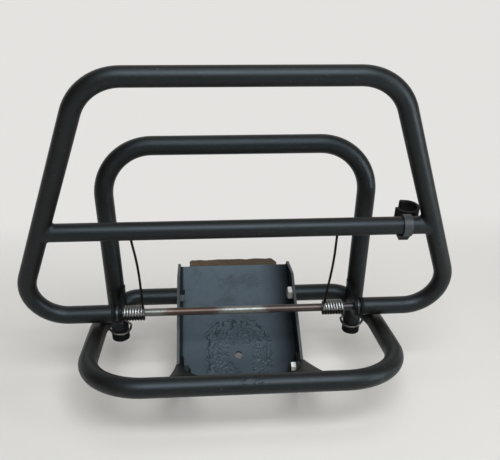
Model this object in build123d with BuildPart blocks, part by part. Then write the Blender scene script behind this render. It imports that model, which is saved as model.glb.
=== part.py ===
# Folding luggage rack for a scooter tail. Units: mm.
# X to the right, Y to the rear, Z up. The origin is the mounting hole, on the underside of the plate.
import math
import os

from build123d import *

# driving dimensions
fit_gap = 0.3  # clearance between curved faces of different pieces
run_gap = 0.08  # running clearance on the hinge rod
tube_wall = 1.6
trim = 1.0  # overshoot of cutting outlines

rod_dia = 8.0
rod_y = -15.0  # hinge axis
rod_z = 61.0
rod_inside = 26.0  # rod ends inside the carrier tube
rod_chamfer = 0.8

ring_dia = 18.0
ring_half = 145.0  # ring side axis
ring_front_reach = 112.5  # front bar ahead of the hinge
ring_rear_reach = 53.0  # rear bar behind the hinge
ring_drop = 20.7  # ring plane below the hinge
rear_bar_drop = 5.0  # rear bar below the hinge
rear_corner_in = 26.0  # rear corner diagonal, across
rear_corner_run = 41.0  # rear corner diagonal, along
ring_front_bend = 56.0
ring_rear_bend = 24.0

back_dia = 19.0
back_top_half = 136.0
back_rise = 166.5  # top bar above the hinge
back_lean = 4.0  # degrees toward the front
back_bend = 50.0
foot_share = 0.365  # place of the leg on the corner diagonal
cope_lift = 3.0

carrier_dia = 18.0
carrier_low_half = 222.5  # side axis at the hinge line
carrier_top_half = 132.5
carrier_length = 248.5
carrier_lean = 16.0  # degrees forward of upright, as in the photograph
carrier_low_bend = 36.0
carrier_top_bend = 47.0
cross_dia = 17.5
cross_reach = 99.0  # cross tube above the hinge

ear_in = 10.0  # inner face of each ear, inside the leg axis
ear_thick = 3.5
ear_head = 11.0
ear_tail = 12.0
ear_lift = 6.0  # middle of the tail above the hinge
ear_tuck = 5.0  # tail end ahead of the leg axis

sheet = 3.0
plate_half = 65.0  # outer half width over the flanges
plate_slope = 35.0  # degrees
plate_length = 152.0
flange_high = 31.0
flange_front = 24.0
flange_cut = 34.0  # sloped cut at the rear end of each flange
flange_rear = 6.0
fold_radius = 1.5
hole_dia = 8.5
hole_reach = 35.0  # from the front edge
pad_thick = 6.0
pad_half = 53.0
pad_deep = 40.0
pad_over = 13.0  # pad beyond the rear edge
pad_chamfer = 7.0

gusset_thick = 4.0
gusset_lap = 11.0  # gusset behind the front bolt
gusset_clear = 1.8  # gusset above the plate
gusset_edge = 1.0  # set back from the flange edge and the bar
web_thick = 3.0  # flared top web of each gusset
web_start = 15.0  # from the plate's front edge
web_gap = 4.0  # web start, clear of the flange edge
web_in = 16.0  # flare toward the middle, at the bar
web_out = 2.5  # flare outward, at the bar
web_hollow = 0.3  # place of the flare's waist
gusset_grip = 5.0  # lower corner past the bar axis
gusset_lead = 3.0  # ahead of the plate's front edge
bolt_dia = 8.0
bolt_head_flats = 13.0
bolt_head_high = 5.3
nut_high = 5.0
bolt_tail = 2.0
stud_dia = 6.0  # front bolts
stud_head_dia = 12.0  # low round head
stud_head_high = 1.4
stud_nut_flats = 10.0
front_bolt_back = 13.0  # from the front edge
front_bolt_up = 11.5  # above the plate
bung_length = 26.0
bung_flange = 1.5
bolt_grip = 20.0  # rear bolt inside the bung

wire_dia = 2.4
bead_swell = 0.06  # wire a little swollen at its bends
coil_outer_dia = 15.6
coil_turns = 7
coil_gap = 0.4
right_coil_shift = 10.0  # the right coil sits away from its ear
leg_rise = 14.0  # straight start of the long leg
leg_spread = 7.0  # long leg, outward by its tip
leg_tip_in = 2.4  # tip inside the cross tube's skin
leg_hole_gap = 0.7
hook_drop = 32.0  # anchor hook below the hinge
hook_ahead = 7.0  # bend of the hook, ahead of the stub axis
hook_above = 6.0
loop_wrap = 2.0  # start of the hook loop, behind the stub axis
loop_ease = 1.0  # hook loop wider than the stub
loop_tail = 6.0  # free end of the hook, behind the stub axis
loop_dip = 5.5  # front of the hook loop below its ends
stub_drop = 38.5  # stub end below the hinge
plug_high = 9.0
plug_insert = 12.0
plug_round = 2.0
bush_length = 24.0
bush_flange = 3.0
collar_r = 7.5
collar_gap = 0.4
collar_length = 3.2

clip_inset = 26.6  # from the end of the cross tube
clip_wide = 8.2
clip_wall = 1.8
clip_tab = 2.4  # lower tab under the band
tab_top = 13.0
tab_low = 9.0
tab_shift = 2.5  # tab toward the middle
tab_deep = 11.0
jaw_high = 14.0
jaw_lift = 2.0  # middle of the jaw above the tube axis
jaw_turn = 30.0  # degrees, mouth turned to the rear
jaw_wall = 2.4
jaw_mouth = 14.0
jaw_shift = 5.5  # jaw outward from the band
jaw_lip = 2.0

# derived values
ring_r = ring_dia / 2
back_r = back_dia / 2
carrier_r = carrier_dia / 2
cross_r = cross_dia / 2
rod_r = rod_dia / 2
wire_r = wire_dia / 2
bolt_r = bolt_dia / 2
stud_r = stud_dia / 2
ring_z = rod_z - ring_drop
rear_z = rod_z - rear_bar_drop
rear_y = rod_y + ring_rear_reach
front_y = rod_y - ring_front_reach
ring_end = plate_half + bung_flange
diag_in = Vector(ring_half - rear_corner_in, rear_y, rear_z)
diag_out = Vector(ring_half, rear_y - rear_corner_run, ring_z)
foot = diag_in + (diag_out - diag_in) * foot_share
slope = math.radians(plate_slope)
plate_dir = Vector(0, math.cos(slope), math.sin(slope))
plate_up = Vector(0, -math.sin(slope), math.cos(slope))
plate_front = plate_up * sheet - plate_dir * hole_reach
spring_r = (coil_outer_dia - wire_dia) / 2
coil_part = 0.25 - carrier_lean / 360
coil_rise = (coil_turns + coil_part) * (wire_dia + coil_gap)
coil_length = coil_rise + wire_dia
ear_inner = foot.X - ear_in
ear_outer = ear_inner + ear_thick
carrier_end = ear_outer + collar_length + 2 * collar_gap  # inner ends of the hinge runs
rod_half = carrier_end + rod_inside
ear_back_y = foot.Y - rod_y - ear_tuck

lean = math.radians(carrier_lean)
carrier_up = Vector(0, -math.sin(lean), math.cos(lean))
carrier_front = Vector(0, -math.cos(lean), -math.sin(lean))
carrier_plane = Plane(origin=(0, rod_y, rod_z), x_dir=(1, 0, 0), z_dir=carrier_front)
back_tilt = math.radians(back_lean)
back_front = Vector(0, -math.cos(back_tilt), -math.sin(back_tilt))
back_plane = Plane(origin=(0, foot.Y, foot.Z), x_dir=(1, 0, 0), z_dir=back_front)

os.makedirs("parts", exist_ok=True)


def side_at(x):
    """Plane across the rack at x, with Y and Z measured from the hinge axis."""
    return Plane(origin=(x, rod_y, rod_z), x_dir=(0, 1, 0), z_dir=(1, 0, 0))


def across(line):
    """Plane square to the start of a path."""
    return Plane(origin=line @ 0, z_dir=line % 0)


def mirrored(point):
    return (-point[0], point[1], point[2])


# base ring: one bent tube, its rear ends butted against the plate flanges
ring_points = [
    (ring_end, rear_y, rear_z),
    tuple(diag_in),
    tuple(diag_out),
    (ring_half, front_y, ring_z),
]
ring_points = ring_points + [mirrored(p) for p in reversed(ring_points)]
ring_radii = [ring_rear_bend, ring_rear_bend, ring_front_bend]
ring_radii = ring_radii + ring_radii[::-1]

with BuildPart() as base_ring:
    with BuildLine() as ring_path:
        FilletPolyline(*ring_points, radius=ring_radii)
    with BuildSketch(across(ring_path.line)):
        Circle(ring_r)
        Circle(ring_r - tube_wall, mode=Mode.SUBTRACT)
    sweep()
base_ring.part.label = "base_ring"
export_step(base_ring.part, "parts/base_ring.step")

with BuildPart() as ring_cutter:
    add(ring_path.line)
    with BuildSketch(across(ring_path.line)):
        Circle(ring_r + fit_gap)
    sweep(path=ring_path.line)

# backrest hoop: legs coped onto the rear corners of the ring
back_top = (rod_z + back_rise - foot.Z) / math.cos(back_tilt)
with BuildPart() as backrest_hoop:
    with BuildLine(back_plane) as back_path:
        FilletPolyline(
            (-foot.X, cope_lift),
            (-back_top_half, back_top),
            (back_top_half, back_top),
            (foot.X, cope_lift),
            radius=back_bend,
        )
    with BuildSketch(across(back_path.line)):
        Circle(back_r)
        Circle(back_r - tube_wall, mode=Mode.SUBTRACT)
    sweep(path=back_path.line)
    add(ring_cutter.part, mode=Mode.SUBTRACT)
backrest_hoop.part.label = "backrest_hoop"
export_step(backrest_hoop.part, "parts/backrest_hoop.step")

# foot stubs under the ring, in line with the legs, and their plugs
leg_axis_right = back_plane.from_local_coords(Vector(back_top_half - foot.X, back_top, 0))
leg_axis_right = (leg_axis_right - Vector(0, foot.Y, foot.Z)).normalized()
leg_axis_left = Vector(-leg_axis_right.X, leg_axis_right.Y, leg_axis_right.Z)
stub_end = (rod_z - stub_drop - foot.Z) / leg_axis_right.Z
plug_r = back_r - tube_wall - fit_gap


def make_stub(axis, centre):
    top = centre - axis * cope_lift
    with BuildPart() as stub:
        with BuildSketch(Plane(origin=top, z_dir=axis * -1)):
            Circle(back_r)
            Circle(back_r - tube_wall, mode=Mode.SUBTRACT)
        extrude(amount=-stub_end - cope_lift)
        add(ring_cutter.part, mode=Mode.SUBTRACT)
    return stub.part


def make_plug(axis, centre):
    seat = centre + axis * stub_end
    with BuildPart() as plug:
        with BuildSketch(Plane(origin=seat, z_dir=axis * -1)):
            Circle(back_r)
        extrude(amount=plug_high)
        fillet(plug.edges().sort_by(Axis.Z)[0], radius=plug_round)
        with BuildSketch(Plane(origin=seat, z_dir=axis)):
            Circle(plug_r)
        extrude(amount=plug_insert)
    return plug.part


foot_left = Vector(-foot.X, foot.Y, foot.Z)
with BuildPart() as foot_stub_left:
    add(make_stub(leg_axis_left, foot_left))
foot_stub_left.part.label = "foot_stub_left"
export_step(foot_stub_left.part, "parts/foot_stub_left.step")

with BuildPart() as foot_stub_right:
    add(make_stub(leg_axis_right, foot))
foot_stub_right.part.label = "foot_stub_right"
export_step(foot_stub_right.part, "parts/foot_stub_right.step")

with BuildPart() as end_plugs:
    add(make_plug(leg_axis_left, foot_left))
    add(make_plug(leg_axis_right, foot))
end_plugs.part.label = "end_plugs"
export_step(end_plugs.part, "parts/end_plugs.step")

# hinge ears: flat plates from the legs forward to the hinge rod
with BuildPart() as leg_cutter:
    add(back_path.line)
    with BuildSketch(across(back_path.line)):
        Circle(back_r + fit_gap)
    sweep(path=back_path.line)


def make_ear(x_low):
    with BuildPart() as ear:
        with BuildSketch(side_at(x_low)):
            with BuildLine():
                Polyline(
                    (0, ear_head),
                    (ear_back_y, ear_lift + ear_tail),
                    (ear_back_y, ear_lift - ear_tail),
                    (0, -ear_head),
                    close=True,
                )
            make_face()
            Circle(ear_head)
            Circle(rod_r + run_gap, mode=Mode.SUBTRACT)
        extrude(amount=ear_thick)
        add(ring_cutter.part, mode=Mode.SUBTRACT)
        add(leg_cutter.part, mode=Mode.SUBTRACT)
    return ear.part


with BuildPart() as hinge_ear_left:
    add(make_ear(-ear_outer))
hinge_ear_left.part.label = "hinge_ear_left"
export_step(hinge_ear_left.part, "parts/hinge_ear_left.step")

with BuildPart() as hinge_ear_right:
    add(make_ear(ear_inner))
hinge_ear_right.part.label = "hinge_ear_right"
export_step(hinge_ear_right.part, "parts/hinge_ear_right.step")

# mounting plate: folded channel, flanges up
profile_plane = Plane(
    origin=plate_front, x_dir=(1, 0, 0), z_dir=(plate_dir * -1)
)
flange_plane = Plane(origin=plate_front, x_dir=plate_dir, z_dir=(1, 0, 0))
plate_plane = Plane(origin=plate_front, x_dir=(1, 0, 0), z_dir=plate_up)
rear_local = Vector(0, rear_y, rear_z) - plate_front
rear_along = rear_local.dot(plate_dir)
rear_up = rear_local.dot(plate_up)
rear_bolt_at = (rear_along, rear_up)
front_bolt_at = (front_bolt_back, front_bolt_up)

with BuildPart() as mounting_plate:
    with BuildSketch(profile_plane) as channel:
        with Locations((0, (flange_high - sheet) / 2)):
            Rectangle(2 * plate_half, flange_high + sheet)
        fillet(channel.vertices().sort_by(Axis.Y)[:2], radius=fold_radius + sheet)
        with BuildSketch(profile_plane, mode=Mode.SUBTRACT) as hollow:
            with Locations((0, (flange_high + trim) / 2)):
                Rectangle(2 * (plate_half - sheet), flange_high + trim)
            fillet(hollow.vertices().sort_by(Axis.Y)[:2], radius=fold_radius)
    extrude(amount=-plate_length)
    with BuildSketch(flange_plane):
        with BuildLine():
            Polyline(
                (-trim, flange_high + trim),
                (-trim, flange_front),
                (0, flange_front),
                (plate_length - flange_cut, flange_high),
                (plate_length, flange_rear),
                (plate_length + trim, flange_rear),
                (plate_length + trim, flange_high + trim),
                close=True,
            )
        make_face()
        with Locations(rear_bolt_at):
            Circle(bolt_r + fit_gap)
        with Locations(front_bolt_at):
            Circle(stud_r + fit_gap)
    extrude(amount=plate_half + trim, both=True, mode=Mode.SUBTRACT)
    with BuildSketch(plate_plane):
        with Locations((0, hole_reach)):
            Circle(hole_dia / 2)
    extrude(amount=-2 * sheet, mode=Mode.SUBTRACT)
mounting_plate.part.label = "mounting_plate"
export_step(mounting_plate.part, "parts/mounting_plate.step")

# pad under the rear end of the plate
with BuildPart() as plate_pad:
    with BuildSketch(plate_plane.offset(-sheet)):
        with BuildLine():
            Polyline(
                (-pad_half, plate_length + pad_over - pad_deep),
                (-pad_half, plate_length + pad_over),
                (pad_half - pad_chamfer, plate_length + pad_over),
                (pad_half, plate_length + pad_over - pad_chamfer),
                (pad_half, plate_length + pad_over - pad_deep),
                close=True,
            )
        make_face()
    extrude(amount=-pad_thick)
plate_pad.part.label = "plate_pad"
export_step(plate_pad.part, "parts/plate_pad.step")

# gussets: flat plates from the front bar back to the flanges, inside them, with a flared top web
bar_local = Vector(0, front_y, ring_z) - plate_front
bar_at = Vector(bar_local.dot(plate_dir), bar_local.dot(plate_up))
gusset_out = plate_half - sheet
flange_rise = (flange_high - flange_front) / (plate_length - flange_cut)
web_back = Vector(web_start, flange_front + web_start * flange_rise)
bar_gap = bar_at - web_back
web_slope = math.atan2(bar_gap.Y, bar_gap.X) - math.asin(ring_r / bar_gap.length)
web_reach = math.sqrt(bar_gap.length**2 - ring_r**2)
web_dir = Vector(math.cos(web_slope), math.sin(web_slope))
web_end = web_back + web_dir * web_reach
web_run = plate_dir * web_dir.X + plate_up * web_dir.Y
web_origin = plate_front + plate_dir * web_back.X + plate_up * web_back.Y
web_up = Vector(1, 0, 0).cross(web_run)


def make_web(side):
    """Flared web along the top of a gusset, tangent to the front bar."""
    x_in = gusset_out - gusset_thick
    waist = web_gap + web_hollow * web_reach
    web_plane = Plane(origin=web_origin, x_dir=(1, 0, 0), z_dir=web_up)
    with BuildPart() as web:
        with BuildSketch(web_plane):
            with BuildLine():
                start_in = (side * x_in, web_gap)
                start_out = (side * plate_half, web_gap)
                end_in = (side * (x_in - web_in), web_reach)
                end_out = (side * (plate_half + web_out), web_reach)
                Spline(start_in, end_in, tangents=[(0, 1), (-side * web_in, waist)])
                Line(end_in, end_out)
                Spline(end_out, start_out, tangents=[(-side * web_out, -waist), (0, -1)])
                Line(start_out, start_in)
            make_face()
        extrude(amount=-web_thick if web_up.Z > 0 else web_thick)
    return web.part


def make_gusset(side):
    x_low = gusset_out - gusset_thick if side > 0 else -gusset_out
    with BuildPart() as gusset:
        with BuildSketch(flange_plane.offset(x_low)):
            with BuildLine():
                low_back = (front_bolt_back + gusset_lap, gusset_clear)
                high_back = (front_bolt_back + gusset_lap, flange_front - gusset_edge)
                low_bar = (bar_at.X - gusset_grip, bar_at.Y - ring_r + gusset_edge)
                low_mid = (-gusset_lead, gusset_clear)
                under = Vector(web_dir.Y, -web_dir.X) * -web_thick / 2
                web_low = web_back + web_dir * web_gap + under
                web_high = web_end + under
                Polyline(
                    low_back,
                    high_back,
                    (web_low.X, web_low.Y),
                    (web_high.X, web_high.Y),
                    low_bar,
                    low_mid,
                    close=True,
                )
            make_face()
            with Locations(front_bolt_at):
                Circle(stud_r + fit_gap, mode=Mode.SUBTRACT)
        extrude(amount=gusset_thick)
        add(make_web(side))
        add(ring_cutter.part, mode=Mode.SUBTRACT)
    return gusset.part


with BuildPart() as gusset_left:
    add(make_gusset(-1))
gusset_left.part.label = "gusset_left"
export_step(gusset_left.part, "parts/gusset_left.step")

with BuildPart() as gusset_right:
    add(make_gusset(1))
gusset_right.part.label = "gusset_right"
export_step(gusset_right.part, "parts/gusset_right.step")


def on_flange(side, x, at):
    """Plane on a flange bolt axis at distance x, facing outward on its side."""
    spot = plate_front + plate_dir * at[0] + plate_up * at[1]
    return Plane(origin=(side * x, spot.Y, spot.Z), x_dir=plate_dir, z_dir=(side, 0, 0))


# threaded bungs in the ring ends
with BuildPart() as tube_bungs:
    for side in (-1, 1):
        with BuildSketch(on_flange(side, plate_half, rear_bolt_at)):
            Circle(ring_r)
            Circle(bolt_r + fit_gap, mode=Mode.SUBTRACT)
        extrude(amount=bung_flange)
        with BuildSketch(on_flange(side, plate_half + bung_flange, rear_bolt_at)):
            Circle(ring_r - tube_wall - fit_gap)
            Circle(bolt_r + fit_gap, mode=Mode.SUBTRACT)
        extrude(amount=bung_length)
tube_bungs.part.label = "tube_bungs"
export_step(tube_bungs.part, "parts/tube_bungs.step")

with BuildPart() as rear_bolts:
    for side in (-1, 1):
        with BuildSketch(on_flange(side, plate_half - sheet - bolt_head_high, rear_bolt_at)):
            RegularPolygon(bolt_head_flats / 2, 6, major_radius=False)
        extrude(amount=bolt_head_high)
        with BuildSketch(on_flange(side, plate_half - sheet, rear_bolt_at)):
            Circle(bolt_r)
        extrude(amount=sheet + bung_flange + bolt_grip)
rear_bolts.part.label = "rear_bolts"
export_step(rear_bolts.part, "parts/rear_bolts.step")

nut_face = gusset_out - gusset_thick
with BuildPart() as front_bolts:
    for side in (-1, 1):
        with BuildSketch(on_flange(side, plate_half, front_bolt_at)):
            Circle(stud_head_dia / 2)
        extrude(amount=stud_head_high)
        with BuildSketch(on_flange(side, nut_face - nut_high - bolt_tail, front_bolt_at)):
            Circle(stud_r)
        extrude(amount=plate_half - nut_face + nut_high + bolt_tail)
front_bolts.part.label = "front_bolts"
export_step(front_bolts.part, "parts/front_bolts.step")

with BuildPart() as front_nuts:
    for side in (-1, 1):
        with BuildSketch(on_flange(side, nut_face - nut_high, front_bolt_at)):
            RegularPolygon(stud_nut_flats / 2, 6, major_radius=False)
            Circle(stud_r + fit_gap, mode=Mode.SUBTRACT)
        extrude(amount=nut_high)
front_nuts.part.label = "front_nuts"
export_step(front_nuts.part, "parts/front_nuts.step")

# hinge rod with its collars
with BuildPart() as hinge_rod:
    with BuildSketch(side_at(-rod_half)):
        Circle(rod_r)
    extrude(amount=2 * rod_half)
    chamfer(hinge_rod.edges().filter_by(GeomType.CIRCLE), length=rod_chamfer)
hinge_rod.part.label = "hinge_rod"
export_step(hinge_rod.part, "parts/hinge_rod.step")

with BuildPart() as hinge_collars:
    for x_low in (-carrier_end + collar_gap, ear_outer + collar_gap):
        with BuildSketch(side_at(x_low)):
            Circle(collar_r)
            Circle(rod_r + run_gap, mode=Mode.SUBTRACT)
        extrude(amount=collar_length)
hinge_collars.part.label = "hinge_collars"
export_step(hinge_collars.part, "parts/hinge_collars.step")


# torsion springs: coil on the rod, a long leg into the cross tube, an anchor hook on the stub
def wire_bead(point):
    with BuildPart() as bead:
        with Locations(point):
            Sphere(wire_r + bead_swell)
    return bead.part


def wire_rod(start, end):
    run = end - start
    with BuildPart() as piece:
        with BuildSketch(Plane(origin=start, z_dir=run.normalized())):
            Circle(wire_r)
        extrude(amount=run.length)
    return piece.part


def make_spring(side, shift):
    hinge = Vector(0, rod_y, rod_z)
    outer_x = ear_inner - collar_gap - shift
    inner_x = outer_x - coil_length
    axis = leg_axis_right if side > 0 else leg_axis_left
    centre = foot if side > 0 else foot_left
    stub_at = centre - axis * ((centre.Z - rod_z + hook_drop) / axis.Z)
    loop_r = back_r + fit_gap + wire_r
    leg_x = Vector(side * (inner_x + wire_r), 0, 0)
    coil_plane = Plane(origin=hinge + leg_x, x_dir=carrier_front, z_dir=(side, 0, 0))
    leg_root = hinge + leg_x + carrier_front * spring_r
    leg_knee = leg_root + carrier_up * leg_rise
    leg_tip = hinge + leg_x + Vector(side * leg_spread, 0, 0)
    leg_tip = leg_tip + carrier_up * (cross_reach - cross_r + leg_tip_in)
    hook_root = hinge + Vector(side * (outer_x - wire_r), 0, -spring_r)
    hook_knee = Vector(side * (ear_inner - wire_dia), stub_at.Y - hook_ahead, stub_at.Z + hook_above)
    loop_in = stub_at + Vector(-side * (loop_r + loop_ease), loop_wrap, 0)
    loop_front = stub_at + Vector(0, -loop_r, -loop_dip)
    loop_out = stub_at + Vector(side * (loop_r + loop_ease), loop_tail, 0)
    with BuildPart() as spring:
        with BuildLine() as coil:
            Helix(wire_dia + coil_gap, coil_rise, spring_r, lefthand=side < 0)
        coil_path = coil.line.moved(coil_plane.location)
        with BuildSketch(across(coil_path)):
            Circle(wire_r)
        sweep(path=coil_path, is_frenet=True)
        add(wire_bead(leg_root))
        add(wire_rod(leg_root, leg_knee))
        add(wire_bead(leg_knee))
        add(wire_rod(leg_knee, leg_tip))
        add(wire_bead(hook_root))
        add(wire_rod(hook_root, hook_knee))
        add(wire_bead(hook_knee))
        add(wire_rod(hook_knee, loop_in))
        add(wire_bead(loop_in))
        with BuildLine() as loop:
            ThreePointArc(loop_in, loop_front, loop_out)
        with BuildSketch(across(loop.line)):
            Circle(wire_r)
        sweep(path=loop.line)
    return spring.part


with BuildPart() as spring_left:
    add(make_spring(-1, 0.0))
spring_left.part.label = "spring_left"
export_step(spring_left.part, "parts/spring_left.step")

with BuildPart() as spring_right:
    add(make_spring(1, right_coil_shift))
spring_right.part.label = "spring_right"
export_step(spring_right.part, "parts/spring_right.step")

# carrier: bent hoop with a cross tube, hinged on the rod
carrier_start = carrier_end + bush_flange
with BuildPart() as carrier_hoop:
    with BuildLine(carrier_plane) as carrier_path:
        FilletPolyline(
            (carrier_start, 0),
            (carrier_low_half, 0),
            (carrier_top_half, carrier_length),
            (-carrier_top_half, carrier_length),
            (-carrier_low_half, 0),
            (-carrier_start, 0),
            radius=[carrier_low_bend, carrier_top_bend, carrier_top_bend, carrier_low_bend],
        )
    with BuildSketch(across(carrier_path.line)):
        Circle(carrier_r)
        Circle(carrier_r - tube_wall, mode=Mode.SUBTRACT)
    sweep(path=carrier_path.line)
carrier_hoop.part.label = "carrier_hoop"
export_step(carrier_hoop.part, "parts/carrier_hoop.step")

side_run = carrier_low_half - carrier_top_half
cross_half = carrier_low_half - side_run * cross_reach / carrier_length
clip_x = cross_half - clip_inset
cross_mid = Vector(0, rod_y, rod_z) + carrier_up * cross_reach
hole_plane = Plane(origin=cross_mid, x_dir=(1, 0, 0), z_dir=(carrier_up * -1))
with BuildPart() as carrier_cutter:
    add(carrier_path.line)
    with BuildSketch(across(carrier_path.line)):
        Circle(carrier_r + fit_gap)
    sweep(path=carrier_path.line)

left_tip_x = ear_inner - collar_gap - coil_length + wire_r + leg_spread
right_tip_x = left_tip_x - right_coil_shift
cross_start = Plane(origin=(-cross_half, cross_mid.Y, cross_mid.Z), x_dir=(0, 1, 0), z_dir=(1, 0, 0))
with BuildPart() as cross_tube:
    with BuildSketch(cross_start):
        Circle(cross_r)
        Circle(cross_r - tube_wall, mode=Mode.SUBTRACT)
    extrude(amount=2 * cross_half)
    with BuildSketch(hole_plane):
        with Locations((-left_tip_x, 0), (right_tip_x, 0)):
            Circle(wire_r + leg_hole_gap)
    extrude(amount=cross_dia, mode=Mode.SUBTRACT)
    add(carrier_cutter.part, mode=Mode.SUBTRACT)
cross_tube.part.label = "cross_tube"
export_step(cross_tube.part, "parts/cross_tube.step")

with BuildPart() as carrier_bushes:
    for side in (-1, 1):
        flange_at = Plane(origin=(side * carrier_end, rod_y, rod_z), x_dir=(0, 1, 0), z_dir=(side, 0, 0))
        with BuildSketch(flange_at):
            Circle(carrier_r)
            Circle(rod_r + run_gap, mode=Mode.SUBTRACT)
        extrude(amount=bush_flange)
        with BuildSketch(flange_at.offset(bush_flange)):
            Circle(carrier_r - tube_wall - fit_gap)
            Circle(rod_r + run_gap, mode=Mode.SUBTRACT)
        extrude(amount=bush_length)
carrier_bushes.part.label = "carrier_bushes"
export_step(carrier_bushes.part, "parts/carrier_bushes.step")

# snap clip on the cross tube: a band with a lower tab, and behind it a jaw that opens toward the middle
clip_plane = Plane(
    origin=(clip_x - clip_wide / 2, cross_mid.Y, cross_mid.Z),
    x_dir=carrier_front * -1,
    z_dir=(1, 0, 0),
)
clip_in = cross_r + fit_gap
clip_out = clip_in + clip_wall
jaw_in = back_r + fit_gap
jaw_out = jaw_in + jaw_wall
jaw_at = clip_out + jaw_in
lip_y = jaw_mouth / 2 + jaw_lip / 2
lip_x = -math.sqrt((jaw_in + jaw_wall / 2) ** 2 - lip_y**2)
jaw_plane = Plane(
    origin=(clip_x + jaw_shift, cross_mid.Y, cross_mid.Z), x_dir=(1, 0, 0), z_dir=carrier_up
)
tab_plane = Plane(
    origin=(clip_x - tab_shift, cross_mid.Y, cross_mid.Z), x_dir=(1, 0, 0), z_dir=carrier_front
)
with BuildPart() as tube_clip:
    with BuildSketch(clip_plane):
        Circle(clip_out)
    extrude(amount=clip_wide)
    with BuildSketch(tab_plane):
        with BuildLine():
            Polyline(
                (-tab_top / 2, -clip_in),
                (tab_top / 2, -clip_in),
                (tab_low / 2, -clip_out - clip_tab),
                (-tab_low / 2, -clip_out - clip_tab),
                close=True,
            )
        make_face()
    extrude(amount=tab_deep / 2, both=True)
    with BuildSketch(jaw_plane.offset(jaw_lift - jaw_high / 2)):
        with Locations((0, jaw_at)):
            Circle(jaw_out)
            Circle(jaw_in, mode=Mode.SUBTRACT)
        with Locations(Location((0, jaw_at, 0), (0, 0, -jaw_turn))):
            with Locations((-jaw_out, 0)):
                Rectangle(2 * jaw_out, jaw_mouth, mode=Mode.SUBTRACT)
            with Locations((lip_x, -lip_y), (lip_x, lip_y)):
                Circle(jaw_lip)
    extrude(amount=jaw_high)
    with BuildSketch(clip_plane.offset(-clip_wide)):
        Circle(clip_in)
    extrude(amount=3 * clip_wide, mode=Mode.SUBTRACT)
tube_clip.part.label = "tube_clip"
export_step(tube_clip.part, "parts/tube_clip.step")
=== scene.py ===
# Folding scooter luggage rack: looks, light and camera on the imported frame. Units: metres.
import math

import bmesh
import bpy
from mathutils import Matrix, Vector, noise


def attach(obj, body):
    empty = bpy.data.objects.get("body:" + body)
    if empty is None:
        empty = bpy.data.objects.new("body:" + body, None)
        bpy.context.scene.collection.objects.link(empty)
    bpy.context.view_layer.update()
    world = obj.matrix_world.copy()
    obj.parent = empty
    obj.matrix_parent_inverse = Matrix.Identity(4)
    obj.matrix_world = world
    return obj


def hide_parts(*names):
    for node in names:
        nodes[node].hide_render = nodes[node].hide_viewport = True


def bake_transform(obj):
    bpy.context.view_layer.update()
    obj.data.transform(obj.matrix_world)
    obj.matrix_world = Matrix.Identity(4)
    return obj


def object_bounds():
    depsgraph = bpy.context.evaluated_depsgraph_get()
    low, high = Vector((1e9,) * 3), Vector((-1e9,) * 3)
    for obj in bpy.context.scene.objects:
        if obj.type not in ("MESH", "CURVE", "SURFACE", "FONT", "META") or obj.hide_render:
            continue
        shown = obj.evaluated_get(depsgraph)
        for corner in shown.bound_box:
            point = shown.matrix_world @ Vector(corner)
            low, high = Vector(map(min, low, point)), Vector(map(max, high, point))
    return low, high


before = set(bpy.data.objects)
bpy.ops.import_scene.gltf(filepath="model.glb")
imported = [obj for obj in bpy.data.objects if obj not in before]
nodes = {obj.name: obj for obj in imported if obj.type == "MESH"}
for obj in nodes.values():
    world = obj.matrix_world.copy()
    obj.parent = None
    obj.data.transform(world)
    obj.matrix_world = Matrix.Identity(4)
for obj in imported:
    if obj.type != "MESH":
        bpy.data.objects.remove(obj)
cad_box = [list(corner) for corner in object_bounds()]

# sizes that the added pieces share with the solids
ROD = Vector((0.0, -0.015, 0.061))
RING_R = 0.009
RING_HALF = 0.145
RING_DROP = 0.0207
FRONT_REACH = 0.1125
REAR_REACH = 0.053
REAR_DROP = 0.005
CORNER_IN = 0.026
CORNER_RUN = 0.041
FOOT_SHARE = 0.365
BACK_R = 0.0095
BACK_TOP_HALF = 0.136
BACK_RISE = 0.1665
BACK_TILT = math.radians(4.0)
CARRIER_R = 0.009
CARRIER_LOW_HALF = 0.2225
CARRIER_CLOSE = 0.090
CARRIER_LENGTH = 0.2485
LEAN_DEGREES = 16.0
CROSS_R = 0.00875
CROSS_REACH = 0.099
EAR_IN = 0.010
EAR_THICK = 0.0035
SHEET = 0.003
PLATE_HALF = 0.065
PLATE_LENGTH = 0.152
SLOPE = math.radians(35.0)
HOLE_REACH = 0.035
GUSSET_THICK = 0.004
STUD_BACK = 0.013
STUD_UP = 0.0115
PAD_HALF = 0.053
PAD_DEEP = 0.040
PAD_OVER = 0.013
PAD_CHAMFER = 0.007
PAD_THICK = 0.006
WIRE_R = 0.0012
COIL_R = 0.0066
COIL_PITCH = 0.0028
COIL_TURNS = 7 + 0.25 - LEAN_DEGREES / 360

# places and directions worked out from them
LEAN = math.radians(LEAN_DEGREES)
CARRIER_UP = Vector((0.0, -math.sin(LEAN), math.cos(LEAN)))
CARRIER_FRONT = Vector((0.0, -math.cos(LEAN), -math.sin(LEAN)))
CROSS_MID = ROD + CARRIER_UP * CROSS_REACH
RING_Z = ROD.z - RING_DROP
FRONT_Y = ROD.y - FRONT_REACH
REAR = Vector((0.0, ROD.y + REAR_REACH, ROD.z - REAR_DROP))
DIAG_IN = Vector((RING_HALF - CORNER_IN, REAR.y, REAR.z))
DIAG_OUT = Vector((RING_HALF, REAR.y - CORNER_RUN, RING_Z))
FOOT = DIAG_IN.lerp(DIAG_OUT, FOOT_SHARE)
EAR_INNER = FOOT.x - EAR_IN
EAR_OUTER = EAR_INNER + EAR_THICK
PLATE_DIR = Vector((0.0, math.cos(SLOPE), math.sin(SLOPE)))
PLATE_UP = Vector((0.0, -math.sin(SLOPE), math.cos(SLOPE)))
PLATE_FRONT = PLATE_UP * SHEET - PLATE_DIR * HOLE_REACH
FLANGE_IN = PLATE_HALF - SHEET
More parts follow.
